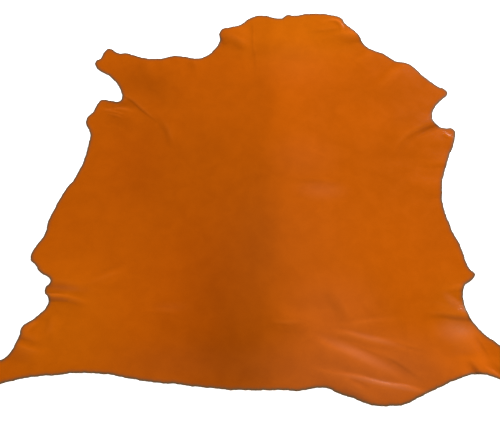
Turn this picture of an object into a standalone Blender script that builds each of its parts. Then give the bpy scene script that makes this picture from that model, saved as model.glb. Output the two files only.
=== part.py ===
"""A tanned hide lying grain side up, with the low folds that being rolled and stored left in it.

+X runs across the hide, +Y from the rump to the neck and +Z up. The flesh side lies on Z = 0 and the
middle of the hide's footprint is at the origin. Outline and fold tables are in millimetres, with x from
the middle of the rump edge and y from that edge towards the neck.
"""

import math

import bpy
import numpy as np
from mathutils import Vector
from mathutils.geometry import delaunay_2d_cdt

MM = 0.001

THICKNESS = 1.5 * MM  # a goatskin left at its full substance
STEPS_PER_SPAN = 3  # outline segments between two points of the tables
COARSE_CELL = 25 * MM  # spacing of the sheet's points where it lies flat
FINE_CELL = COARSE_CELL / 2  # their spacing where it bends
BEND_LEAST = 0.12 * MM  # a fine point is kept where the sheet departs this far from its neighbours
EDGE_CLEARANCE = 0.6  # share of a cell kept free between the outline and the points inside it
WANDER = 1.5  # millimetres that a fold's line strays to each side of its smooth bow
WANDER_LENGTH = 90  # millimetres from one such stray to the next on the same side
WIDENING = 0.8  # how much a fold spreads from its peak to where it has died away
BLEND = 3  # power with which lifts that overlap run into one another
INSIDE_ONLY = 1  # the triangulation's own number for triangles inside the outline
POINT_MERGE = 1e-5  # metres

LEATHER_COLOUR = (0.46, 0.105, 0.006, 1.0)
LEATHER_ROUGHNESS = 0.42

# The outline, clockwise from the left neck corner. Columns: x, y.
NECK_EDGE = (
    (-66, 771),
    (-66, 789),
    (-59, 802),
    (-44, 806),
    (-21, 815),
    (-3, 832),
    (12, 841),
    (34, 841),
    (66, 834),
    (84, 845),
    (94, 842),
    (122, 848),
    (180, 843),
    (197, 835),
    (208, 815),
)
RIGHT_SHOULDER = (
    (228, 793),
    (242, 764),
    (262, 743),
    (281, 735),
    (310, 712),
    (336, 703),
    (361, 673),
    (390, 645),
    (402, 637),
    (407, 627),
)
RIGHT_ARMPIT = (
    (400, 616),
    (386, 603),
    (369, 570),
    (376, 546),
    (391, 538),
    (405, 538),
    (410, 528),
)
RIGHT_FLANK = (
    (404, 502),
    (385, 455),
    (369, 402),
    (366, 360),
    (374, 313),
    (388, 268),
    (397, 227),
    (405, 214),
    (400, 204),
    (384, 191),
    (379, 176),
    (385, 130),
)
RIGHT_HIND_LEG = (
    (400, 106),
    (430, 79),
    (458, 50),
    (482, 16),
    (480, -4),
    (460, -6),
    (436, 10),
    (400, 25),
    (378, 27),
    (360, 23),
)
RUMP_LOBE = (
    (325, 8),
    (292, -7),
    (262, -22),
    (232, -27),
    (200, -25),
    (180, -17),
    (156, -9),
    (125, 4),
    (106, 3),
)
RUMP_EDGE = (
    (90, 0),
    (40, 0),
    (-20, 0),
    (-70, 4),
    (-120, 10),
    (-180, 16),
    (-232, 26),
    (-280, 30),
    (-332, 26),
    (-385, 20),
)
LEFT_HIND_LEG = (
    (-416, 11),
    (-446, -1),
    (-472, -2),
    (-486, 12),
    (-480, 32),
    (-456, 46),
    (-424, 54),
    (-409, 69),
    (-399, 97),
    (-397, 114),
)
LEFT_FLANK = (
    (-382, 126),
    (-360, 151),
    (-358, 166),
    (-366, 181),
    (-365, 189),
    (-358, 196),
    (-361, 205),
    (-378, 216),
    (-388, 231),
    (-401, 245),
    (-397, 265),
    (-381, 298),
    (-379, 318),
    (-354, 393),
    (-336, 427),
    (-321, 492),
    (-320, 524),
    (-331, 560),
)
LEFT_ARMPIT = (
    (-319, 580),
    (-311, 601),
    (-303, 610),
    (-283, 607),
    (-266, 606),
    (-263, 617),
    (-272, 643),
    (-287, 666),
    (-325, 698),
)
LEFT_SHOULDER = (
    (-326, 712),
    (-317, 721),
    (-311, 739),
    (-301, 747),
    (-280, 735),
    (-262, 735),
    (-234, 724),
    (-190, 720),
    (-160, 728),
    (-104, 722),
    (-72, 752),
)
OUTLINE = (
    NECK_EDGE
    + RIGHT_SHOULDER
    + RIGHT_ARMPIT
    + RIGHT_FLANK
    + RIGHT_HIND_LEG
    + RUMP_LOBE
    + RUMP_EDGE
    + LEFT_HIND_LEG
    + LEFT_FLANK
    + LEFT_ARMPIT
    + LEFT_SHOULDER
)

# Broad lifts, where the hide stands off the surface. Columns: name, x, y, half length, half width,
# turn of the length from +X in degrees, height.
SWELLS = (
    ("backbone", 18, 420, 560, 170, 87, 6.0),
    ("rump", 205, 60, 250, 110, -18, 3.5),
    ("right hind leg", 356, 100, 90, 70, -25, 3.0),
    ("left flank", -318, 190, 110, 60, -8, 2.5),
    ("left hind leg", -384, 90, 56, 44, 20, 2.5),
    ("right armpit", 345, 524, 105, 66, 15, 3.2),
    ("left armpit", -235, 592, 95, 62, -42, 3.5),
    ("right neck corner", 190, 800, 85, 66, -15, 5.0),
    ("left neck corner", -32, 785, 72, 50, -28, 4.5),
    ("right shoulder", 300, 672, 115, 62, 28, 2.8),
    ("right hock", 388, 32, 70, 48, -20, 3.0),
)

# Folds that stand up from the lifts as ridges or, with a height below zero, sink into them as creases.
# Bow is how far the middle of the fold lies to the left of the straight line between its ends, peak is
# the share of the way along at which the fold is highest and narrowest, and left and right say how far
# it spreads on each side there. Columns: name, x and y from, x and y to, bow, peak, height, left, right.
FOLDS = (
    ("rump ridge, upper", 118, 106, 318, 66, 0, 0.30, 1.3, 10, 13),
    ("rump ridge, middle", 62, 103, 313, -21, 6, 0.36, 2.4, 18, 30),
    ("rump ridge, lower", 76, 42, 346, -18, 0, 0.52, 2.5, 8, 26),
    ("rump ridge, rim", 118, 22, 276, -14, -10, 0.42, 2.6, 26, 15),
    ("rump ridge, side", 8, 138, 138, 102, 4, 0.52, 2.0, 34, 26),
    ("rump crease, end", 212, 66, 312, -4, 0, 0.32, -1.0, 8, 20),
    ("croup ridge", 139, 228, 191, 90, 0, 0.55, 3.0, 60, 27),
    ("thigh ridge", 256, 166, 290, 66, 0, 0.50, 0.7, 30, 15),
    ("loin ridge", 128, 108, 284, 130, 0, 0.50, 1.1, 10, 28),
    ("hind leg ridge", 288, 141, 478, 127, 0, 0.40, 2.9, 22, 11),
    ("hind leg bulge", 262, 88, 412, 78, 0, 0.60, 2.0, 36, 46),
    ("hock bulge", 322, 88, 408, 82, 0, 0.50, 2.8, 36, 26),
    ("knee ridge", 325, 181, 430, 192, 0, 0.50, 1.0, 11, 8),
    ("knee edge ridge", 332, 174, 384, 138, 0, 0.60, 1.5, 14, 20),
    ("hock crease, front", 384, 98, 414, 44, 0, 0.45, -0.8, 5, 14),
    ("hock crease, rear", 358, 58, 392, 10, 0, 0.68, -3.2, 9, 18),
    ("hind leg crease", 390, 50, 444, 14, 0, 0.50, -1.5, 14, 7),
    ("belly ridge, outer", -452, 200, -262, 197, 0, 0.45, 3.0, 64, 15),
    ("belly ridge, inner", -312, 180, -200, 218, 9, 0.50, 1.9, 15, 30),
    ("flank ridge", -440, 182, -270, 157, 1, 0.36, 3.9, 7.5, 8),
    ("flank ridge, end", -230, 150, -96, 137, 0, 0.60, 0.4, 10, 9),
    ("left hock ridge, front", -440, 106, -350, 88, 0, 0.36, 2.1, 22, 7),
    ("left hock ridge, rear", -440, 84, -328, 58, 0, 0.50, 1.8, 12, 26),
    ("cross crease", 40, 408, 202, 401, 0, 0.50, -0.9, 14, 28),
    ("right armpit ridge", 422, 558, 270, 466, -31, 0.66, 0.8, 13, 34),
    ("right armpit crease", 428, 541, 282, 450, -31, 0.42, -2.3, 34, 15),
    ("left armpit crease", -284, 630, -178, 535, 6, 0.48, -1.4, 5, 26),
    ("left breast ridge", -196, 592, -140, 478, 6, 0.55, 1.7, 34, 15),
    ("left armpit pit", -310, 597, -226, 588, 0, 0.52, -2.2, 18, 9),
    ("left foreleg ridge", -336, 594, -218, 554, 0, 0.50, 0.9, 11, 26),
    ("right neck crease", 88, 789, 218, 796, 0, 0.68, -0.7, 8, 16),
    ("right neck ridge", 172, 784, 266, 777, 0, 0.62, 3.7, 18, 20),
    ("left neck crease", -104, 772, -44, 755, 0, 0.52, -1.7, 8, 18),
    ("left neck ridge", -84, 799, 26, 727, 5, 0.50, 1.2, 16, 18),
    ("right shoulder edge", 206, 687, 282, 755, 0, 0.50, 1.2, 20, 40),
    ("right shoulder crease", 222, 632, 345, 740, 0, 0.50, -1.0, 30, 22),
    ("right shoulder ridge", 220, 604, 364, 734, 0, 0.50, 1.0, 20, 22),
    ("right flank ridge, front", 296, 466, 430, 450, 0, 0.55, 1.2, 34, 15),
    ("right flank ridge, rear", 276, 390, 404, 414, 0, 0.55, 1.6, 30, 34),
)


def dome(distance):
    """1 at the middle, 0 from a distance of 1 outwards, smooth at both."""
    return 0.5 + 0.5 * np.cos(math.pi * np.clip(distance, 0.0, 1.0))


def swell_height(x, y, row):
    """Height in millimetres that one row of SWELLS adds at each point."""
    _, middle_x, middle_y, half_length, half_width, turn, height = row
    cos_turn = math.cos(math.radians(turn))
    sin_turn = math.sin(math.radians(turn))
    along = (x - middle_x) * cos_turn + (y - middle_y) * sin_turn
    across = (y - middle_y) * cos_turn - (x - middle_x) * sin_turn
    return height * dome(np.hypot(along / half_length, across / half_width))


def fold_height(x, y, row):
    """Height in millimetres that one row of FOLDS adds at each point."""
    _, from_x, from_y, to_x, to_y, bow, peak, height, left, right = row
    length = math.hypot(to_x - from_x, to_y - from_y)
    run_x = (to_x - from_x) / length
    run_y = (to_y - from_y) / length
    share = ((x - from_x) * run_x + (y - from_y) * run_y) / length
    sideways = (y - from_y) * run_x - (x - from_x) * run_y
    arch = 4 * share * (1 - share)  # 0 at both ends of the fold and 1 in its middle
    # Starting each fold's stray at its own x keeps neighbours from straying in step.
    stray = np.sin(math.tau * share * length / WANDER_LENGTH + from_x)
    sideways = sideways - bow * arch - WANDER * stray
    reach = np.where(sideways > 0, left, right) * (1 + WIDENING * np.abs(share - peak))
    from_peak = np.where(share < peak, (peak - share) / peak, (share - peak) / (1 - peak))
    return height * dome(np.abs(sideways) / reach) * dome(from_peak)


def relief(x, y):
    """Height of the flesh side above the surface, in metres, at points of the outline's frame in metres."""
    x = np.asarray(x) / MM
    y = np.asarray(y) / MM
    lift = sum(swell_height(x, y, row) ** BLEND for row in SWELLS) ** (1 / BLEND)
    lift = lift + sum(fold_height(x, y, row) for row in FOLDS)
    return np.maximum(lift, 0.0) * MM


def remove_all_objects():
    for thing in list(bpy.data.objects):
        bpy.data.objects.remove(thing, do_unlink=True)


def outline_points():
    """The smooth closed outline as an array of x and y in metres, anticlockwise."""
    curve = bpy.data.curves.new("outline", "CURVE")
    curve.dimensions = "2D"
    curve.fill_mode = "NONE"
    curve.resolution_u = STEPS_PER_SPAN
    spline = curve.splines.new("BEZIER")
    spline.use_cyclic_u = True
    spline.bezier_points.add(len(OUTLINE) - 1)
    for knot, (x, y) in zip(spline.bezier_points, reversed(OUTLINE)):
        knot.co = (x * MM, y * MM, 0.0)
        knot.handle_left_type = "AUTO"
        knot.handle_right_type = "AUTO"
    guide = bpy.data.objects.new("outline", curve)
    bpy.context.scene.collection.objects.link(guide)
    graph = bpy.context.evaluated_depsgraph_get()
    line = bpy.data.meshes.new_from_object(guide.evaluated_get(graph))
    points = np.array([vertex.co[:2] for vertex in line.vertices])
    bpy.data.objects.remove(guide, do_unlink=True)
    bpy.data.curves.remove(curve)
    bpy.data.meshes.remove(line)
    return points


def lattice(low, high):
    """A triangular lattice of fine cells over a box, and which of its points make up the coarse one."""
    row_step = FINE_CELL * math.sin(math.pi / 3)
    rows = int((high[1] - low[1]) / row_step) + 2
    columns = int((high[0] - low[0]) / FINE_CELL) + 2
    row, column = (index.ravel() for index in np.mgrid[0:rows, 0:columns])
    x = low[0] + FINE_CELL * (column + 0.5 * (row % 2))
    y = low[1] + row_step * row
    coarse = (row % 2 == 0) & ((column + row // 2) % 2 == 0)
    return np.stack([x, y], axis=1), coarse


def bends_at(points):
    """Which points lie where the sheet departs from the mean height of its six neighbours."""
    height = relief(points[:, 0], points[:, 1])
    around = np.zeros_like(height)
    for turn in np.arange(6) * math.pi / 3:
        step = FINE_CELL * np.array([math.cos(turn), math.sin(turn)])
        around += relief(*(points + step).T) / 6
    return np.abs(height - around) > BEND_LEAST


def clear_of_edge(points, outline):
    """Which points lie inside the outline, far enough from it to leave no narrow triangles."""
    run = np.roll(outline, -1, axis=0) - outline
    offset = points[:, None, :] - outline
    share = np.clip((offset * run).sum(axis=2) / (run * run).sum(axis=1), 0.0, 1.0)
    gap = np.linalg.norm(offset - share[:, :, None] * run, axis=2).min(axis=1)
    ahead = offset - run
    turned = np.arctan2(
        offset[:, :, 0] * ahead[:, :, 1] - offset[:, :, 1] * ahead[:, :, 0],
        (offset * ahead).sum(axis=2),
    )
    turns_round = turned.sum(axis=1) > math.pi
    return turns_round & (gap > EDGE_CLEARANCE * FINE_CELL)


def add_sheet(outline):
    """The hide's flesh side: triangles inside the outline, raised by the relief and centred on the origin."""
    points, coarse = lattice(outline.min(axis=0), outline.max(axis=0))
    points = points[coarse | bends_at(points)]
    points = points[clear_of_edge(points, outline)]
    flat = [Vector(point) for point in np.concatenate([outline, points])]
    rim = [list(range(len(outline)))]
    places, _, triangles, *_ = delaunay_2d_cdt(flat, [], rim, INSIDE_ONLY, POINT_MERGE)
    middle = (outline.min(axis=0) + outline.max(axis=0)) / 2
    mesh = bpy.data.meshes.new("hide")
    heights = relief([place.x for place in places], [place.y for place in places])
    corners = [(p.x - middle[0], p.y - middle[1], z) for p, z in zip(places, heights)]
    mesh.from_pydata(corners, [], triangles)
    sheet = bpy.data.objects.new("hide", mesh)
    return sheet


def thicken(sheet):
    """The leather's substance, all of it above the flesh side."""
    solidify = sheet.modifiers.new("substance", "SOLIDIFY")
    solidify.thickness = THICKNESS
    solidify.offset = 1.0
    solidify.use_even_offset = True
    solidify.use_quality_normals = True


def leather_material():
    material = bpy.data.materials.new("tan_leather")
    material.use_nodes = True
    surface = material.node_tree.nodes["Principled BSDF"]
    surface.inputs["Base Color"].default_value = LEATHER_COLOUR
    surface.inputs["Roughness"].default_value = LEATHER_ROUGHNESS
    surface.inputs["Metallic"].default_value = 0.0
    return material


def main():
    remove_all_objects()
    collection = bpy.data.collections.new("leather_hide")
    bpy.context.scene.collection.children.link(collection)
    hide = add_sheet(outline_points())
    thicken(hide)
    hide.data.materials.append(leather_material())
    hide.data.shade_smooth()
    collection.objects.link(hide)


main()
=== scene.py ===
"""The dressed leather hide: a thin sheet, grain side up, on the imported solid's folds, with a floor, a room,
a key light and a camera.

Lengths in the tables are millimetres in the outline's own frame, with x from the middle of the rump edge
and y from that edge towards the neck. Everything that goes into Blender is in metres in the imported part's
frame, whose origin is under the middle of the outline's box.
"""

import math

import bmesh
import bpy
import numpy as np
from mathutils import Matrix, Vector, kdtree
from mathutils.geometry import delaunay_2d_cdt

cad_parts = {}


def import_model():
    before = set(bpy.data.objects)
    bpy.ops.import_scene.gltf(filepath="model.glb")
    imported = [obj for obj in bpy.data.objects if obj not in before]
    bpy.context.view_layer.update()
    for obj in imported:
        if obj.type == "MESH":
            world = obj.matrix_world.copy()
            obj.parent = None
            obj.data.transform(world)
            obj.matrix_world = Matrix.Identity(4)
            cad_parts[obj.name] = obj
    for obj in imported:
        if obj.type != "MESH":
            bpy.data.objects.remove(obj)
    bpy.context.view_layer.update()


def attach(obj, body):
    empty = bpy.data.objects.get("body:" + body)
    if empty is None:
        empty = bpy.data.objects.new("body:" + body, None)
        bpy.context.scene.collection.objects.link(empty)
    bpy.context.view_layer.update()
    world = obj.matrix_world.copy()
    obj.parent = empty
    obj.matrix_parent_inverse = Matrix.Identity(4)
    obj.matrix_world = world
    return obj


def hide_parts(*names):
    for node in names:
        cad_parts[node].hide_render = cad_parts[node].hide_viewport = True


MM = 0.001

THICKNESS = 1.5  # millimetres of leather
OUTLINE_STEPS = 12  # segments between two points of the outline tables
RIM_STEP = 2.2  # millimetres between two points of the cut edge
RIM_ROUND = 0.45  # radius of the worn corners of the cut edge, in millimetres
RIM_BEVEL = 0.13  # how far the middle of such a corner lies from either face
RIM_FAR = 40.0  # millimetres from the rim beyond which the distance to it is no longer told
INSIDE_ONLY = 1  # the triangulation's own number for triangles inside the outline
POINT_MERGE = 1e-5  # millimetres within which the triangulation takes two points for one
POINTS_AT_A_TIME = 4000  # points tested against the outline in one go
GRAIN_SLOT, EDGE_SLOT, FLESH_SLOT = range(3)  # the hide's material slots
WANDER = 1.5  # millimetres that a fold's line strays to each side of its smooth bow
WANDER_LENGTH = 90  # millimetres from one such stray to the next on the same side
WIDENING = 0.8  # how much a fold spreads from its peak to where it has died away
BLEND = 3  # power with which lifts that overlap run into one another

# Cell sizes of the sheet, coarsest first, and how far in millimetres the sheet has to depart from its
# neighbours for the points of each finer size to be kept.
CELLS = (10.0, 5.0, 2.5)
BENDS = (0.012, 0.014)
PLACES_PER_MM = 8  # points of two sizes that fall on the same eighth of a millimetre are one point

# Columns: waves round the whole rim, size in millimetres, start in radians.
RIM_WAVES = (
    (61, 0.35, 0.4),
    (97, 0.30, 2.1),
    (163, 0.26, 4.4),
    (281, 0.20, 1.2),
    (433, 0.14, 3.3),
    (677, 0.10, 5.2),
)
RIM_ROWS = (1.3, 3.0)  # depths inside the rim at which the sheet's points follow it, in millimetres
RIM_ROW_SHARE = 0.9  # share of that depth that a point keeps from the rim where the rim bends sharply
RIM_GAP = 1.6  # millimetres left free between those rows and the points farther in
# The cut edge from top to bottom. Columns: how far inside the outline, height above the flesh side.
WALL_ROWS = (
    (RIM_BEVEL, THICKNESS - RIM_BEVEL),
    (0.0, THICKNESS - RIM_ROUND),
    (0.0, RIM_ROUND),
    (RIM_BEVEL, RIM_BEVEL),
)
# Rings over which crests and creases are told. Columns: reach in millimetres, weight.
CURL_RINGS = (
    (4.0, 2.2),
    (11.0, 0.45),
)
# Unevenness all over the hide, as waves along x times waves along y. Columns: height in millimetres, then
# first for x and then for y the millimetres to one radian of wave, the radians by which it sways and the
# millimetres to one radian of that sway, and last the radian at which the waves along y start.
WAVES = (
    (0.20, 31, 1.3, 57, 43, 0.9, 71, 0.6),
    (0.012, 11.3, 1.7, 19, 13.1, 1.1, 17, 0.0),
)

# Broad patches painted lighter or darker: painted light and shade where the light falls unevenly over the
# hide, with some uneven dye. Columns as in SWELLS, with a share for a height.
PAINTED_LIGHT_AND_DYE_PATCHES = (
    ("backbone", -22, 300, 420, 120, 88, -0.10),
    ("backbone, right", 20, 300, 250, 60, 90, -0.10),
    ("neck", 120, 765, 220, 200, 0, 0.17),
    ("neck band", 60, 738, 170, 42, 0, -0.09),
    ("left side", -165, 450, 330, 130, -74, -0.10),
    ("left shoulder", -225, 645, 135, 95, -10, -0.14),
    ("left barrel", -235, 420, 110, 90, 70, -0.07),
    ("left belly", -330, 190, 200, 150, 90, 0.09),
    ("left loin", -230, 150, 130, 80, 0, 0.07),
    ("rump", 0, 60, 200, 110, 0, -0.08),
    ("rump hollow", -46, 50, 310, 155, 98, -0.19),
    ("spine", 22, 650, 280, 42, 88, -0.06),
    ("left rump", -165, 45, 95, 60, 0, -0.08),
    ("lobe", 225, -20, 110, 60, -5, 0.13),
    ("lobe, inner", 170, 50, 130, 60, -10, 0.10),
    ("hock", 330, 75, 90, 60, 0, 0.05),
    ("right leg", 370, 60, 95, 70, -20, 0.29),
    ("hock, front", 356, 104, 44, 32, 0, -0.06),
    ("right loin", 130, 205, 70, 55, 0, 0.06),
    ("right loin, outer", 218, 206, 46, 46, 0, -0.05),
    ("right shoulder", 225, 555, 150, 95, 0, 0.08),
    ("right barrel, rear", 120, 490, 75, 60, 0, 0.05),
    ("right flank", 345, 430, 60, 50, 0, 0.07),
    ("knee", 368, 215, 70, 95, 0, 0.07),
    ("right armpit", 362, 547, 46, 26, 25, -0.15),
    ("right armpit, front", 318, 556, 60, 38, 20, -0.06),
    ("right shoulder, front", 285, 668, 60, 40, 30, 0.06),
    ("thigh, rear", 320, 118, 50, 40, 0, 0.06),
    ("rump, inner", 92, 72, 36, 30, 0, 0.07),
    ("left rump, front", -75, 115, 42, 42, 0, 0.07),
    ("left loin, rear", -152, 115, 46, 40, 0, -0.06),
    ("rump edge", 12, 28, 60, 30, 0, -0.06),
    ("lobe end", 245, 38, 60, 34, -20, -0.06),
    ("left of spine", -85, 490, 75, 90, 0, -0.07),
    ("left leg", -380, 60, 160, 90, 10, 0.07),
    ("loin", 175, 85, 180, 130, 0, 0.07),
    ("right side", 165, 330, 280, 130, 90, 0.05),
    ("thigh", 235, 135, 80, 60, 0, -0.09),
    ("right belly", 265, 240, 230, 160, 85, 0.10),
    ("right barrel", 95, 590, 150, 70, 90, 0.07),
)

# Broad patches and streaks of painted sheen: a pale painted reflection over the rump and painted highlights
# along the fold crests. Columns as in the patches above.
PAINTED_SHEEN_PATCHES = (
    ("rump", 190, 25, 270, 120, 0, 0.020),
    ("loin", 150, 140, 130, 110, 0, 0.009),
    ("barrel", 75, 260, 260, 210, 90, 0.004),
    ("left rump", -130, 40, 200, 70, 0, 0.004),
    ("right hind leg", 370, 100, 80, 60, 0, 0.005),
    ("hock, front", 356, 104, 44, 32, 0, 0.032),
    ("upper fold", 212, 90, 66, 9, -16, 0.027),
    ("middle fold", 184, 62, 86, 15, -27, 0.032),
    ("lower fold", 222, 11, 86, 8, -13, 0.050),
    ("cross", 138, 392, 66, 30, 0, 0.013),
    ("right side", 105, 470, 100, 80, 0, 0.005),
    ("neck", 100, 700, 110, 100, 0, 0.004),
    ("left loin", -140, 150, 46, 14, 0, 0.004),
    ("flank fold", -330, 186, 60, 9, -4, 0.012),
    ("knee", 358, 160, 30, 13, -55, 0.020),
)

# Broad patches where the dye is yellower, or redder below 0. Columns as in PAINTED_LIGHT_AND_DYE_PATCHES.
YELLOWS = (
    ("neck", 110, 800, 260, 160, 0, 0.14),
    ("left flank", -335, 110, 210, 150, 90, 0.09),
    ("rump", -100, 180, 300, 150, 90, -0.05),
    ("left barrel", -230, 450, 160, 110, 90, -0.04),
    ("right thigh", 365, 150, 110, 80, 90, 0.07),
)

GRAIN_DYE_DEEP = (0.388, 0.0718, 0.0006, 1.0)
GRAIN_DYE_LIGHT = (0.408, 0.0771, 0.0008, 1.0)
# paler colour painted on crests: a painted highlight, with some wear
CREST_HIGHLIGHT_AND_WEAR_COLOUR = (0.50, 0.125, 0.015, 1.0)
# the pale colour of the painted sheen
PAINTED_SHEEN_COLOUR = (0.62, 0.50, 0.42, 1.0)
RIM_COLOUR = (0.108, 0.063, 0.026, 1.0)
EDGE_DARK = (0.115, 0.063, 0.032, 1.0)
EDGE_PALE = (0.25, 0.150, 0.086, 1.0)
FLESH_DARK = (0.42, 0.20, 0.075, 1.0)
FLESH_PALE = (0.60, 0.34, 0.155, 1.0)
GRAIN_SPECULAR = 0.07
GRAIN_SPECULAR_TINT = (1.0, 0.95, 0.85, 1.0)

# Noise in the leather. Columns: scale per metre, detail, roughness, distortion.
MOTTLE = (9.0, 3.0, 0.55, 0.0)
BLOTCH = (38.0, 4.0, 0.6, 0.4)
RIPPLE = (55.0, 3.0, 0.55, 0.6)
GRAIN_WARP = (260.0, 2.0, 0.5, 0.0)
RIM_FRAY = (420.0, 3.0, 0.6, 0.0)
PORES = (900.0, 2.0, 0.6, 0.0)
FIBRES = (700.0, 3.0, 0.65, 0.0)
NAP = (520.0, 4.0, 0.7, 0.0)
NAP_PATCHES = (14.0, 4.0, 0.6, 0.8)
# The spans of a noise's values over which what it drives runs from its least to its most.
WIDE = (0.2, 0.8)
MIDDLE = (0.25, 0.75)
NARROW = (0.3, 0.7)

# How far each noise shifts the dye's brightness up and down.
MOTTLE_TONE = 0.022
BLOTCH_TONE = 0.008
PORE_TONE = 0.035
# What crests and creases change: painted light and a painted highlight on crests, painted shade in creases,
# and polish. Columns: span of the curl attribute, what they change at its two ends.
# painted light on crests and painted shade in creases
FOLD_PAINTED_LIGHT_AND_SHADE = ((-0.5, 0.5), (-0.05, 0.04))
# painted shade deep in the sharpest creases
DEEP_CREASE_PAINTED_SHADE = ((-2.0, -0.6), (-0.22, 0.0))
# share of the crests' painted highlight and wear
CREST_HIGHLIGHT_AND_WEAR_SHARE = ((0.05, 0.7), (0.0, 0.12))  # of the crest's colour
CREST_POLISH = ((0.1, 0.8), (0.0, -0.05))  # in roughness
# What the rim changes. Columns: span of the distance to it in millimetres, what changes at its two ends.
RIM_LINE_SHARE = ((0.8, 5.6), (0.64, 0.0))  # of the rim's colour
# a wider, fainter darkening towards the rim
RIM_WIDE_BAND_SHARE = ((0.4, 10.5), (0.34, 0.0))
RIM_DULLNESS = ((0.4, 6.0), (0.35, 0.0))  # in roughness
RIM_FRAYING = 0.8  # millimetres that the rim's line strays to each side
GRAIN_ROUGHNESS = (0.15, 0.20)  # at its smoothest and roughest blotches
PORE_ROUGHNESS = 0.03
# How much of the flesh side's paler colour its nap and its broader patches add, at least and at most.
NAP_SHARE = (0.0, 0.6)
NAP_PATCH_SHARE = (0.0, 0.4)

GRAIN_CELLS = 820.0  # cells of the grain per metre
GRAIN_CELL_RIM = (0.0, 0.28)  # over what distance from its edge a cell rises, in cells
GRAIN_SHIFT = 0.0006  # metres that the cells are pushed out of line
# What the bump is made of, in shares of its depth.
GRAIN_DEPTH = 0.16
PORE_DEPTH = 0.22
RIPPLE_DEPTH = 0.9
# Bumps. Columns: strength, depth in metres.
GRAIN_BUMP = (0.45, 0.00035)
EDGE_BUMP = (0.7, 0.0002)
FLESH_BUMP = (0.8, 0.0004)

FLOOR_HALF = 12.0  # metres
FLOOR_DROP = 0.0004  # metres below the lowest leather
FLOOR_COLOUR = (0.90, 0.90, 0.895, 1.0)
FLOOR_GLOW = 0.9
ROOM_COLOUR = (1.20, 1.20, 1.19, 1.0)
# A darker band low round the room, which the leather mirrors when it is seen from low down.
BAND_COLOUR = (0.20, 0.20, 0.20, 1.0)
BAND_FOOT = (0.0, 0.08)  # sines of the elevations at which the band starts and is full
BAND_TOP = (0.18, 0.52)  # and at which it fades and is gone
# A dark panel overhead on the far side, which is what the flat leather mirrors.
PANEL_COLOUR = (0.10, 0.10, 0.10, 1.0)
PANEL_WAY = (0.0, 0.50, 0.866)
PANEL_RIM = (0.62, 0.90)  # cosines of the angles from its middle at which it starts and is full
# A soft box. Columns: azimuth with 0 for +Y and 90 for +X, elevation, distance, size, watts.
KEY_LIGHT = (36, 26, 4.4, 1.2, 272.0)

# The camera looks along +Y, down on the point that it aims at.
CAMERA_LENS = 57.6  # millimetres, on a sensor of the width below
CAMERA_SENSOR = 36.0
CAMERA_ELEVATION = 60.0  # degrees
CAMERA_DISTANCE = 1.508  # metres
CAMERA_AIM = (0.0014, -0.0681)

# The outline, clockwise from the left neck corner. Columns: x, y.
NECK_EDGE = (
    (-66, 771),
    (-66, 789),
    (-59, 802),
    (-44, 806),
    (-21, 815),
    (-3, 832),
    (12, 841),
    (34, 841),
    (66, 834),
    (84, 845),
    (94, 842),
    (122, 848),
    (180, 843),
    (197, 835),
    (208, 815),
)
RIGHT_SHOULDER = (
    (228, 793),
    (242, 764),
    (262, 743),
    (281, 735),
    (310, 712),
    (336, 703),
    (361, 673),
    (390, 645),
    (402, 637),
    (407, 627),
)
RIGHT_ARMPIT = (
    (400, 616),
    (386, 603),
    (369, 570),
    (376, 546),
    (391, 538),
    (405, 538),
    (410, 528),
)
RIGHT_FLANK = (
    (404, 502),
    (385, 455),
    (369, 402),
    (366, 360),
    (374, 313),
    (388, 268),
    (397, 227),
    (405, 214),
    (400, 204),
    (384, 191),
    (379, 176),
    (385, 130),
)
RIGHT_HIND_LEG = (
    (400, 106),
    (430, 79),
    (458, 50),
    (482, 16),
    (480, -4),
    (460, -6),
    (436, 10),
    (400, 25),
    (378, 27),
    (360, 23),
)
RUMP_LOBE = (
    (325, 8),
    (292, -7),
    (262, -22),
    (232, -27),
    (200, -25),
    (180, -17),
    (156, -9),
    (125, 4),
    (106, 3),
)
RUMP_EDGE = (
    (90, 0),
    (40, 0),
    (-20, 0),
    (-70, 4),
    (-120, 10),
    (-180, 16),
    (-232, 26),
    (-280, 30),
    (-332, 26),
    (-385, 20),
)
LEFT_HIND_LEG = (
    (-416, 11),
    (-446, -1),
    (-472, -2),
    (-486, 12),
    (-480, 32),
    (-456, 46),
    (-424, 54),
    (-409, 69),
    (-399, 97),
    (-397, 114),
)
LEFT_FLANK = (
    (-382, 126),
    (-360, 151),
    (-358, 166),
    (-366, 181),
    (-365, 189),
    (-358, 196),
    (-361, 205),
    (-378, 216),
    (-388, 231),
    (-401, 245),
    (-397, 265),
    (-381, 298),
    (-379, 318),
    (-354, 393),
    (-336, 427),
    (-321, 492),
    (-320, 524),
    (-331, 560),
)
LEFT_ARMPIT = (
    (-319, 580),
    (-311, 601),
    (-303, 610),
    (-283, 607),
    (-266, 606),
    (-263, 617),
    (-272, 643),
    (-287, 666),
    (-325, 698),
)
LEFT_SHOULDER = (
    (-326, 712),
    (-317, 721),
    (-311, 739),
    (-301, 747),
    (-280, 735),
    (-262, 735),
    (-234, 724),
    (-190, 720),
    (-160, 728),
    (-104, 722),
    (-72, 752),
)
OUTLINE = (
    NECK_EDGE
    + RIGHT_SHOULDER
    + RIGHT_ARMPIT
    + RIGHT_FLANK
    + RIGHT_HIND_LEG
    + RUMP_LOBE
    + RUMP_EDGE
    + LEFT_HIND_LEG
    + LEFT_FLANK
    + LEFT_ARMPIT
    + LEFT_SHOULDER
)

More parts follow.
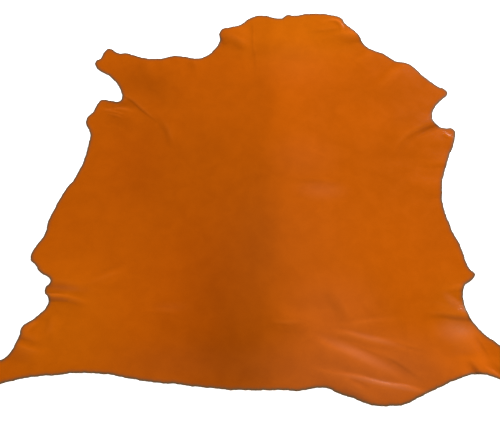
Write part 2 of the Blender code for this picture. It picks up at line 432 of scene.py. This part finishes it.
# Broad lifts, where the hide stands off the surface. Columns: name, x, y, half length, half width,
# turn of the length from +X in degrees, height.
SWELLS = (
    ("backbone", 18, 420, 560, 170, 87, 6.0),
    ("rump", 205, 60, 250, 110, -18, 3.5),
    ("right hind leg", 356, 100, 90, 70, -25, 3.0),
    ("left flank", -318, 190, 110, 60, -8, 2.5),
    ("left hind leg", -384, 90, 56, 44, 20, 2.5),
    ("right armpit", 345, 524, 105, 66, 15, 3.2),
    ("left armpit", -235, 592, 95, 62, -42, 3.5),
    ("right neck corner", 190, 800, 85, 66, -15, 5.0),
    ("left neck corner", -32, 785, 72, 50, -28, 4.5),
    ("right shoulder", 300, 672, 115, 62, 28, 2.8),
    ("right hock", 388, 32, 70, 48, -20, 3.0),
)

# Folds that stand up from the lifts as ridges or, with a height below zero, sink into them as creases.
# Bow is how far the middle of the fold lies to the left of the straight line between its ends, peak is
# the share of the way along at which the fold is highest and narrowest, and left and right say how far
# it spreads on each side there. Columns: name, x and y from, x and y to, bow, peak, height, left, right.
FOLDS = (
    ("rump ridge, upper", 118, 106, 318, 66, 0, 0.30, 1.3, 10, 13),
    ("rump ridge, middle", 62, 103, 313, -21, 6, 0.36, 2.4, 18, 30),
    ("rump ridge, lower", 76, 42, 346, -18, 0, 0.52, 2.5, 8, 26),
    ("rump ridge, rim", 118, 22, 276, -14, -10, 0.42, 2.6, 26, 15),
    ("rump ridge, side", 8, 138, 138, 102, 4, 0.52, 2.0, 34, 26),
    ("rump crease, end", 212, 66, 312, -4, 0, 0.32, -1.0, 8, 20),
    ("croup ridge", 139, 228, 191, 90, 0, 0.55, 3.0, 60, 27),
    ("thigh ridge", 256, 166, 290, 66, 0, 0.50, 0.7, 30, 15),
    ("loin ridge", 128, 108, 284, 130, 0, 0.50, 1.1, 10, 28),
    ("hind leg ridge", 288, 141, 478, 127, 0, 0.40, 2.9, 22, 11),
    ("hind leg bulge", 262, 88, 412, 78, 0, 0.60, 2.0, 36, 46),
    ("hock bulge", 322, 88, 408, 82, 0, 0.50, 2.8, 36, 26),
    ("knee ridge", 325, 181, 430, 192, 0, 0.50, 1.0, 11, 8),
    ("knee edge ridge", 332, 174, 384, 138, 0, 0.60, 1.5, 14, 20),
    ("hock crease, front", 384, 98, 414, 44, 0, 0.45, -0.8, 5, 14),
    ("hock crease, rear", 358, 58, 392, 10, 0, 0.68, -3.2, 9, 18),
    ("hind leg crease", 390, 50, 444, 14, 0, 0.50, -1.5, 14, 7),
    ("belly ridge, outer", -452, 200, -262, 197, 0, 0.45, 3.0, 64, 15),
    ("belly ridge, inner", -312, 180, -200, 218, 9, 0.50, 1.9, 15, 30),
    ("flank ridge", -440, 182, -270, 157, 1, 0.36, 3.9, 7.5, 8),
    ("flank ridge, end", -230, 150, -96, 137, 0, 0.60, 0.4, 10, 9),
    ("left hock ridge, front", -440, 106, -350, 88, 0, 0.36, 2.1, 22, 7),
    ("left hock ridge, rear", -440, 84, -328, 58, 0, 0.50, 1.8, 12, 26),
    ("cross crease", 40, 408, 202, 401, 0, 0.50, -0.9, 14, 28),
    ("right armpit ridge", 422, 558, 270, 466, -31, 0.66, 0.8, 13, 34),
    ("right armpit crease", 428, 541, 282, 450, -31, 0.42, -2.3, 34, 15),
    ("left armpit crease", -284, 630, -178, 535, 6, 0.48, -1.4, 5, 26),
    ("left breast ridge", -196, 592, -140, 478, 6, 0.55, 1.7, 34, 15),
    ("left armpit pit", -310, 597, -226, 588, 0, 0.52, -2.2, 18, 9),
    ("left foreleg ridge", -336, 594, -218, 554, 0, 0.50, 0.9, 11, 26),
    ("right neck crease", 88, 789, 218, 796, 0, 0.68, -0.7, 8, 16),
    ("right neck ridge", 172, 784, 266, 777, 0, 0.62, 3.7, 18, 20),
    ("left neck crease", -104, 772, -44, 755, 0, 0.52, -1.7, 8, 18),
    ("left neck ridge", -84, 799, 26, 727, 5, 0.50, 1.2, 16, 18),
    ("right shoulder edge", 206, 687, 282, 755, 0, 0.50, 1.2, 20, 40),
    ("right shoulder crease", 222, 632, 345, 740, 0, 0.50, -1.0, 30, 22),
    ("right shoulder ridge", 220, 604, 364, 734, 0, 0.50, 1.0, 20, 22),
    ("right flank ridge, front", 296, 466, 430, 450, 0, 0.55, 1.2, 34, 15),
    ("right flank ridge, rear", 276, 390, 404, 414, 0, 0.55, 1.6, 30, 34),
)

# Creases and ripples too fine for the solid. Columns as in FOLDS.
WRINKLES = (
    ("right neck corner curl", 152, 820, 200, 782, 25, 0.52, 1.4, 7, 8),
    ("right armpit line", 424, 543, 278, 455, -31, 0.30, -1.1, 12, 10),
    ("right foreleg tab", 381, 531, 407, 510, 0, 0.50, 0.65, 6, 7),
    ("left foreleg line, upper", -304, 589, -248, 568, 0, 0.50, 0.6, 3.5, 4),
    ("left foreleg line, lower", -296, 578, -252, 560, 0, 0.50, 0.6, 3.5, 4),
    ("left shoulder ripple, front", -222, 732, -200, 644, 0, 0.45, 1.1, 24, 26),
    ("left shoulder ripple, rear", -126, 732, -98, 664, 0, 0.40, 1.1, 30, 16),
    ("left neck pit", -88, 775, -50, 764, 0, 0.46, -1.6, 8, 9),
    ("spine crease", -1, 840, 14, 600, 0, 0.25, -0.6, 6, 20),
    ("left hock edge", -396, 100, -370, 126, 0, 0.50, 1.7, 7, 10),
    ("left leg swell", -354, 82, -336, 142, 0, 0.50, 1.4, 14, 24),
    ("thigh crease, fine", 214, 92, 316, 62, 0, 0.60, -0.35, 5, 7),
    ("rump line, middle", 140, 97, 272, 20, 3, 0.40, -0.4, 6, 9),
    ("lobe streak", 158, 19, 206, 2, 0, 0.50, -0.7, 5, 8),
    ("rump streak", 20, 120, 100, 122, 0, 0.50, 0.4, 7, 6),
)


def dome(distance):
    """1 at the middle, 0 from a distance of 1 outwards, smooth at both."""
    return 0.5 + 0.5 * np.cos(math.pi * np.clip(distance, 0.0, 1.0))


def swell_height(x, y, row):
    """Height in millimetres that one row of SWELLS adds at each point."""
    _, middle_x, middle_y, half_length, half_width, turn, height = row
    cos_turn = math.cos(math.radians(turn))
    sin_turn = math.sin(math.radians(turn))
    along = (x - middle_x) * cos_turn + (y - middle_y) * sin_turn
    across = (y - middle_y) * cos_turn - (x - middle_x) * sin_turn
    return height * dome(np.hypot(along / half_length, across / half_width))


def fold_height(x, y, row):
    """Height in millimetres that one row of FOLDS or WRINKLES adds at each point."""
    _, from_x, from_y, to_x, to_y, bow, peak, height, left, right = row
    length = math.hypot(to_x - from_x, to_y - from_y)
    run_x = (to_x - from_x) / length
    run_y = (to_y - from_y) / length
    share = ((x - from_x) * run_x + (y - from_y) * run_y) / length
    sideways = (y - from_y) * run_x - (x - from_x) * run_y
    arch = 4 * share * (1 - share)  # 0 at both ends of the fold and 1 in its middle
    # Starting each fold's stray at its own x keeps neighbours from straying in step.
    stray = np.sin(math.tau * share * length / WANDER_LENGTH + from_x)
    sideways = sideways - bow * arch - WANDER * stray
    reach = np.where(sideways > 0, left, right) * (1 + WIDENING * np.abs(share - peak))
    from_peak = np.where(share < peak, (peak - share) / peak, (share - peak) / (1 - peak))
    return height * dome(np.abs(sideways) / reach) * dome(from_peak)


def waviness(x, y):
    """What the rows of WAVES add up to at each point, in millimetres."""
    found = 0.0
    for height, x_length, x_sway, x_swing, y_length, y_sway, y_swing, start in WAVES:
        wave_x = np.sin(x / x_length + x_sway * np.sin(y / x_swing))
        wave_y = np.sin(y / y_length + y_sway * np.sin(x / y_swing) + start)
        found = found + height * (wave_x * wave_y)
    return found


def relief(x, y):
    """Height of the flesh side above the surface, in millimetres."""
    lift = sum(swell_height(x, y, row) ** BLEND for row in SWELLS) ** (1 / BLEND)
    lift = lift + sum(fold_height(x, y, row) for row in FOLDS + WRINKLES)
    return np.maximum(lift + waviness(x, y), 0.0)


def relief_around(points, reach):
    """Mean relief of the six places around each point that are reach millimetres from it."""
    around = np.zeros(len(points))
    for turn in np.arange(6) * math.pi / 3:
        around += relief(*(points + reach * np.array([math.cos(turn), math.sin(turn)])).T) / 6
    return around


def smooth_outline():
    """The outline as points in millimetres, anticlockwise and RIM_STEP apart."""
    curve = bpy.data.curves.new("outline", "CURVE")
    curve.dimensions = "2D"
    curve.fill_mode = "NONE"
    curve.resolution_u = OUTLINE_STEPS
    spline = curve.splines.new("BEZIER")
    spline.use_cyclic_u = True
    spline.bezier_points.add(len(OUTLINE) - 1)
    for knot, (x, y) in zip(spline.bezier_points, reversed(OUTLINE)):
        knot.co = (x * MM, y * MM, 0.0)
        knot.handle_left_type = "AUTO"
        knot.handle_right_type = "AUTO"
    guide = bpy.data.objects.new("outline", curve)
    bpy.context.scene.collection.objects.link(guide)
    graph = bpy.context.evaluated_depsgraph_get()
    line = bpy.data.meshes.new_from_object(guide.evaluated_get(graph))
    points = np.array([vertex.co[:2] for vertex in line.vertices]) / MM
    bpy.data.objects.remove(guide, do_unlink=True)
    bpy.data.curves.remove(curve)
    bpy.data.meshes.remove(line)
    closed = np.concatenate([points, points[:1]])
    travelled = np.concatenate([[0], np.cumsum(np.hypot(*np.diff(closed, axis=0).T))])
    stops = np.linspace(0, travelled[-1], int(travelled[-1] / RIM_STEP), endpoint=False)
    return np.stack([np.interp(stops, travelled, closed[:, k]) for k in (0, 1)], axis=1)


def outward(outline):
    """Unit normals of an anticlockwise outline."""
    run = np.roll(outline, -1, axis=0) - np.roll(outline, 1, axis=0)
    run = run / np.linalg.norm(run, axis=1)[:, None]
    return np.stack([run[:, 1], -run[:, 0]], axis=1)


def ragged(outline):
    """The outline with the small nicks that a knife leaves."""
    steps = np.arange(len(outline)) * RIM_STEP
    total = len(outline) * RIM_STEP
    nick = np.zeros(len(outline))
    for waves, size, start in RIM_WAVES:
        nick += size * np.sin(math.tau * waves * steps / total + start)
    return outline + outward(outline) * nick[:, None]


def inside(points, outline):
    """Which points lie inside the outline, by counting the edges crossed on the way out along +X."""
    ahead = np.roll(outline, -1, axis=0)
    found = np.zeros(len(points), bool)
    for first in range(0, len(points), POINTS_AT_A_TIME):
        batch = slice(first, first + POINTS_AT_A_TIME)
        x, y = points[batch].T[:, :, None]
        spans = (outline[:, 1] > y) != (ahead[:, 1] > y)
        rise = np.where(ahead[:, 1] == outline[:, 1], 1.0, ahead[:, 1] - outline[:, 1])
        crossing = outline[:, 0] + (y - outline[:, 1]) * (ahead[:, 0] - outline[:, 0]) / rise
        found[batch] = (spans & (crossing > x)).sum(axis=1) % 2 == 1
    return found


def distance_to(outline, points):
    """Distance in millimetres from each point to the nearest point of the outline."""
    tree = kdtree.KDTree(len(outline))
    for index, (x, y) in enumerate(outline):
        tree.insert((x, y, 0.0), index)
    tree.balance()
    return np.array([tree.find((x, y, 0.0))[2] for x, y in points])


def lattice(low, high, cell):
    """Points in a lattice of equal-sided triangles over the box from low to high."""
    row_step = cell * math.sin(math.pi / 3)
    rows = int((high[1] - low[1]) / row_step) + 2
    columns = int((high[0] - low[0]) / cell) + 2
    row, column = (index.ravel() for index in np.mgrid[0:rows, 0:columns])
    x = low[0] + cell * (column + 0.5 * (row % 2))
    return np.stack([x, low[1] + row_step * row], axis=1)


def bend(points, cell):
    """How far in millimetres the sheet departs from the mean height of its neighbours a cell away."""
    return np.abs(relief(*points.T) - relief_around(points, cell))


def sheet_points(outline):
    """Points inside the outline, closer together where the sheet bends and along its rim."""
    low = outline.min(axis=0)
    high = outline.max(axis=0)
    kept = []
    taken = set()
    for level, cell in enumerate(CELLS):
        points = lattice(low, high, cell)
        points = points[inside(points, outline)]
        if level:
            points = points[bend(points, cell) > BENDS[level - 1]]
        keys = [tuple(key) for key in np.round(points * PLACES_PER_MM).astype(int)]
        fresh = [k for k, key in enumerate(keys) if key not in taken]
        taken.update(keys)
        kept.append(points[fresh])
    points = np.concatenate(kept)
    points = points[distance_to(outline, points) > RIM_ROWS[-1] + RIM_GAP]
    for depth in RIM_ROWS:
        ring = outline - outward(outline) * depth
        ring = ring[distance_to(outline, ring) > depth * RIM_ROW_SHARE]
        points = np.concatenate([points, ring])
    return points


def patchwork(x, y, rows):
    """What the rows of one table of patches add up to at each point, as a share."""
    return sum(swell_height(x, y, row) for row in rows)


def curl_at(x, y):
    """Crests above 0 and creases below it: the relief less its mean over the rings around."""
    points = np.stack([x, y], axis=1)
    return sum(weight * (relief(x, y) - relief_around(points, reach)) for reach, weight in CURL_RINGS)


def triangulated(outline):
    """The sheet as seen from above: its points, of which the outline's come first, and its triangles."""
    flat = [Vector(point) for point in np.concatenate([outline, sheet_points(outline)])]
    rim = [list(range(len(outline)))]
    places, _, triangles, *_ = delaunay_2d_cdt(flat, [], rim, INSIDE_ONLY, POINT_MERGE)
    return np.array([place[:] for place in places]), triangles


def closed_faces(triangles, count, ends):
    """The faces of the grain side, then of the flesh side, then of the wall between their rims.

    The grain side's points are numbered from 0 and the flesh side's from count, and each side starts with
    the points of its rim, as many as ends. The rows of the wall follow, from the top down.
    """
    faces = [tuple(face) for face in triangles]
    faces += [tuple(index + count for index in reversed(face)) for face in triangles]
    starts = [0] + [2 * count + row * ends for row in range(len(WALL_ROWS))] + [count]
    for upper, lower in zip(starts, starts[1:]):
        for here in range(ends):
            after = (here + 1) % ends
            faces.append((upper + here, lower + here, lower + after, upper + after))
    return faces


def write_facts(mesh, outline, spots):
    """Write what the grain's material reads at each point of the mesh."""
    x, y = spots.T
    facts = {
        # painted light and shade from the broad patches, with some uneven dye
        "painted_light_and_dye": patchwork(x, y, PAINTED_LIGHT_AND_DYE_PATCHES),
        # painted sheen from the broad patches and the fold streaks
        "painted_sheen": patchwork(x, y, PAINTED_SHEEN_PATCHES),
        "yellow": patchwork(x, y, YELLOWS),
        "curl": curl_at(x, y),
        "rim": np.minimum(distance_to(outline, spots), RIM_FAR),
    }
    for name, values in facts.items():
        attribute = mesh.attributes.new(name, "FLOAT", "POINT")
        attribute.data.foreach_set("value", values.astype(np.float32))


def hide_mesh(outline):
    """One closed mesh of the grain side, the cut edge and the flesh side."""
    normals = outward(outline)
    spots, triangles = triangulated(outline - normals * RIM_ROUND)
    height = relief(*spots.T)
    walls = [outline - normals * inset for inset, _ in WALL_ROWS]
    wall_heights = [relief(*wall.T) + rise for wall, (_, rise) in zip(walls, WALL_ROWS)]
    all_spots = np.concatenate([spots, spots, *walls])
    all_heights = np.concatenate([height + THICKNESS, height, *wall_heights])
    middle = (outline.min(axis=0) + outline.max(axis=0)) / 2
    points = np.column_stack([all_spots - middle, all_heights]) * MM
    faces = closed_faces(triangles, len(spots), len(outline))
    mesh = bpy.data.meshes.new("leather_hide")
    mesh.from_pydata(points.tolist(), [], faces)
    wall_faces = len(faces) - 2 * len(triangles)
    slots = np.repeat([GRAIN_SLOT, FLESH_SLOT, EDGE_SLOT], [len(triangles), len(triangles), wall_faces])
    mesh.polygons.foreach_set("material_index", slots.astype(np.int32))
    write_facts(mesh, outline, all_spots)
    mesh.shade_smooth()
    return mesh


class Nodes:
    """Short calls for wiring the nodes of one material or world."""

    def __init__(self, tree):
        self.tree = tree

    def add(self, kind, **settings):
        node = self.tree.nodes.new(kind)
        for name, value in settings.items():
            setattr(node, name, value)
        return node

    def put(self, socket, value):
        """Link a socket to another node's socket, or give it a constant."""
        if isinstance(value, bpy.types.NodeSocket):
            self.tree.links.new(value, socket)
        else:
            socket.default_value = value

    def put_all(self, node, values):
        for name, value in values.items():
            self.put(node.inputs[name], value)

    def place(self):
        """Where a point lies in the hide's own frame, in metres."""
        return self.add("ShaderNodeTexCoord").outputs["Object"]

    def attribute(self, name):
        return self.add("ShaderNodeAttribute", attribute_name=name).outputs["Fac"]

    def noise(self, place, settings):
        node = self.add("ShaderNodeTexNoise")
        self.put(node.inputs["Vector"], place)
        for name, value in zip(("Scale", "Detail", "Roughness", "Distortion"), settings):
            self.put(node.inputs[name], value)
        return node.outputs["Fac"]

    def math(self, operation, first, second):
        node = self.add("ShaderNodeMath", operation=operation)
        self.put(node.inputs[0], first)
        self.put(node.inputs[1], second)
        return node.outputs[0]

    def total(self, first, *others):
        """The sum of all that is given."""
        found = first
        for other in others:
            found = self.math("ADD", found, other)
        return found

    def fit(self, value, span, ends=(0.0, 1.0)):
        """A number that goes smoothly from one end to the other while the value crosses the span."""
        node = self.add("ShaderNodeMapRange", interpolation_type="SMOOTHSTEP")
        for socket, number in zip(node.inputs, (value, *span, *ends)):
            self.put(socket, number)
        return node.outputs[0]

    def swing(self, value, span, size):
        """A number that goes from -size to size while the value crosses the span."""
        return self.fit(value, span, (-size, size))

    def mix(self, share, first, second, blend="MIX"):
        node = self.add("ShaderNodeMix", data_type="RGBA", blend_type=blend)
        self.put_all(node, {"Factor": share, "A": first, "B": second})
        return node.outputs["Result"]

    def bump(self, surface, height, strength, depth):
        """Let a surface look as if it rose by depth metres where the height is 1."""
        node = self.add("ShaderNodeBump")
        self.put_all(node, {"Strength": strength, "Distance": depth, "Height": height})
        self.put(surface.inputs["Normal"], node.outputs[0])


def new_material(name):
    """A material, the calls that wire it and its surface node."""
    material = bpy.data.materials.new(name)
    material.use_nodes = True
    surface = material.node_tree.nodes["Principled BSDF"]
    return material, Nodes(material.node_tree), surface


def grain_colour(nodes, mottle, blotch, pores, curl, rim):
    """The dye with painted light and shade in its patches, a painted highlight with some wear on crests,
    painted shade in creases, painted sheen, and brown along the rim.
    """
    # painted light and shade: the broad patches, lighter crests and darker creases
    light = nodes.total(
        1.0,
        nodes.attribute("painted_light_and_dye"),
        nodes.swing(mottle, MIDDLE, MOTTLE_TONE),
        nodes.swing(blotch, MIDDLE, BLOTCH_TONE),
        nodes.swing(pores, NARROW, PORE_TONE),
        nodes.fit(curl, *FOLD_PAINTED_LIGHT_AND_SHADE),
        nodes.fit(curl, *DEEP_CREASE_PAINTED_SHADE),
    )
    yellower = nodes.total(light, nodes.attribute("yellow"))
    shade = nodes.add("ShaderNodeCombineColor")
    nodes.put_all(shade, {"Red": light, "Green": yellower, "Blue": light})
    dye = nodes.mix(nodes.fit(blotch, NARROW), GRAIN_DYE_DEEP, GRAIN_DYE_LIGHT)
    colour = nodes.mix(1.0, dye, shade.outputs[0], "MULTIPLY")
    # painted highlight, with some wear, on the crests
    colour = nodes.mix(nodes.fit(curl, *CREST_HIGHLIGHT_AND_WEAR_SHARE), colour, CREST_HIGHLIGHT_AND_WEAR_COLOUR)
    # painted sheen
    colour = nodes.mix(nodes.attribute("painted_sheen"), colour, PAINTED_SHEEN_COLOUR)
    rim_share = nodes.total(nodes.fit(rim, *RIM_LINE_SHARE), nodes.fit(rim, *RIM_WIDE_BAND_SHARE))
    return nodes.mix(rim_share, colour, RIM_COLOUR)


def grain_height(nodes, place, blotch, pores):
    """Cells of about a millimetre, a little out of line, with pores and slow ripples."""
    shift = nodes.add("ShaderNodeCombineXYZ")
    nodes.put(shift.inputs["X"], nodes.swing(nodes.noise(place, GRAIN_WARP), WIDE, GRAIN_SHIFT))
    nodes.put(shift.inputs["Y"], nodes.swing(blotch, WIDE, GRAIN_SHIFT))
    shifted = nodes.add("ShaderNodeVectorMath", operation="ADD")
    nodes.put(shifted.inputs[0], place)
    nodes.put(shifted.inputs[1], shift.outputs[0])
    cells = nodes.add("ShaderNodeTexVoronoi", feature="DISTANCE_TO_EDGE")
    nodes.put_all(cells, {"Vector": shifted.outputs[0], "Scale": GRAIN_CELLS})
    return nodes.total(
        nodes.math("MULTIPLY", nodes.fit(cells.outputs["Distance"], GRAIN_CELL_RIM), GRAIN_DEPTH),
        nodes.math("MULTIPLY", pores, PORE_DEPTH),
        nodes.math("MULTIPLY", nodes.noise(place, RIPPLE), RIPPLE_DEPTH),
    )


def grain_material():
    """The dyed and finished grain side."""
    material, nodes, surface = new_material("tan_leather_grain")
    place = nodes.place()
    mottle = nodes.noise(place, MOTTLE)
    blotch = nodes.noise(place, BLOTCH)
    pores = nodes.noise(place, PORES)
    curl = nodes.attribute("curl")
    fray = nodes.swing(nodes.noise(place, RIM_FRAY), WIDE, RIM_FRAYING)
    rim = nodes.total(nodes.attribute("rim"), fray)
    roughness = nodes.total(
        nodes.fit(blotch, MIDDLE, GRAIN_ROUGHNESS),
        nodes.fit(rim, *RIM_DULLNESS),
        nodes.swing(pores, NARROW, PORE_ROUGHNESS),
        nodes.fit(curl, *CREST_POLISH),
    )
    nodes.put_all(surface, {
        "Base Color": grain_colour(nodes, mottle, blotch, pores, curl, rim),
        "Roughness": roughness,
        "Specular IOR Level": GRAIN_SPECULAR,
        "Specular Tint": GRAIN_SPECULAR_TINT,
    })
    nodes.bump(surface, grain_height(nodes, place, blotch, pores), *GRAIN_BUMP)
    return material


def edge_material():
    """The raw cut through the leather: darker and paler fibres."""
    material, nodes, surface = new_material("tan_leather_edge")
    fibres = nodes.noise(nodes.place(), FIBRES)
    nodes.put_all(surface, {
        "Base Color": nodes.mix(nodes.fit(fibres, NARROW), EDGE_DARK, EDGE_PALE),
        "Roughness": 0.85,
        "Specular IOR Level": 0.15,
    })
    nodes.bump(surface, fibres, *EDGE_BUMP)
    return material


def flesh_material():
    """The flesh side: a short uneven nap, paler than the grain."""
    material, nodes, surface = new_material("tan_leather_flesh")
    place = nodes.place()
    nap = nodes.noise(place, NAP)
    patches = nodes.noise(place, NAP_PATCHES)
    share = nodes.total(nodes.fit(nap, MIDDLE, NAP_SHARE), nodes.fit(patches, MIDDLE, NAP_PATCH_SHARE))
    nodes.put_all(surface, {
        "Base Color": nodes.mix(share, FLESH_DARK, FLESH_PALE),
        "Roughness": 0.95,
        "Specular IOR Level": 0.1,
        "Sheen Weight": 0.35,
        "Sheen Roughness": 0.6,
    })
    nodes.bump(surface, nap, *FLESH_BUMP)
    return material


def add_hide():
    """The hide, with its materials in the order of their slots."""
    outline = ragged(smooth_outline())
    hide = bpy.data.objects.new("leather_hide", hide_mesh(outline))
    bpy.context.scene.collection.objects.link(hide)
    for material in (grain_material(), edge_material(), flesh_material()):
        hide.data.materials.append(material)
    return hide


def add_floor():
    """A wide pale floor that glows a little, so that the hide leaves hardly any shadow on it."""
    mesh = bpy.data.meshes.new("floor")
    work = bmesh.new()
    bmesh.ops.create_grid(work, x_segments=1, y_segments=1, size=FLOOR_HALF)
    work.to_mesh(mesh)
    work.free()
    floor = bpy.data.objects.new("floor", mesh)
    floor.location.z = -FLOOR_DROP
    bpy.context.scene.collection.objects.link(floor)
    material, nodes, surface = new_material("pale_floor")
    nodes.put_all(surface, {
        "Base Color": FLOOR_COLOUR,
        "Roughness": 0.9,
        "Specular IOR Level": 0.0,
        "Emission Color": FLOOR_COLOUR,
        "Emission Strength": FLOOR_GLOW,
    })
    mesh.materials.append(material)
    return floor


def add_key_light(azimuth, elevation, distance, size, power):
    """A round soft box that faces the middle of the hide."""
    data = bpy.data.lights.new("key", "AREA")
    data.shape = "DISK"
    data.size = size
    data.energy = power
    light = bpy.data.objects.new("key", data)
    across = distance * math.cos(math.radians(elevation))
    light.location = (
        across * math.sin(math.radians(azimuth)),
        across * math.cos(math.radians(azimuth)),
        distance * math.sin(math.radians(elevation)),
    )
    light.rotation_euler = (-light.location).to_track_quat("-Z", "Y").to_euler()
    bpy.context.scene.collection.objects.link(light)


def set_world():
    """A pale room with a dark panel overhead and a darker band low round it."""
    world = bpy.data.worlds.new("room")
    bpy.context.scene.world = world
    world.use_nodes = True
    nodes = Nodes(world.node_tree)
    way = nodes.add("ShaderNodeTexCoord").outputs["Generated"]
    aligned = nodes.add("ShaderNodeVectorMath", operation="DOT_PRODUCT")
    nodes.put(aligned.inputs[0], way)
    nodes.put(aligned.inputs[1], PANEL_WAY)
    panel = nodes.fit(aligned.outputs["Value"], PANEL_RIM)
    split = nodes.add("ShaderNodeSeparateXYZ")
    nodes.put(split.inputs[0], way)
    foot = nodes.fit(split.outputs["Z"], BAND_FOOT)
    top = nodes.fit(split.outputs["Z"], BAND_TOP, (1.0, 0.0))
    room = nodes.mix(nodes.math("MULTIPLY", foot, top), ROOM_COLOUR, BAND_COLOUR)
    background = world.node_tree.nodes["Background"]
    nodes.put_all(background, {"Color": nodes.mix(panel, room, PANEL_COLOUR), "Strength": 1.0})


def add_camera():
    """The scene's camera, with its middle ray through CAMERA_AIM."""
    data = bpy.data.cameras.new("camera")
    data.lens = CAMERA_LENS
    data.sensor_width = CAMERA_SENSOR
    data.clip_end = 100.0
    camera = bpy.data.objects.new("camera", data)
    tilt = math.radians(CAMERA_ELEVATION)
    camera.location = (
        CAMERA_AIM[0],
        CAMERA_AIM[1] - CAMERA_DISTANCE * math.cos(tilt),
        CAMERA_DISTANCE * math.sin(tilt),
    )
    camera.rotation_euler = (math.pi / 2 - tilt, 0.0, 0.0)
    bpy.context.scene.collection.objects.link(camera)
    bpy.context.scene.camera = camera


def main():
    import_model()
    add_camera()
    set_world()
    add_key_light(*KEY_LIGHT)
    bpy.context.scene.view_settings.view_transform = "Standard"
    hide = add_hide()
    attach(hide, "root")
    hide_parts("hide")
    floor = add_floor()


main()
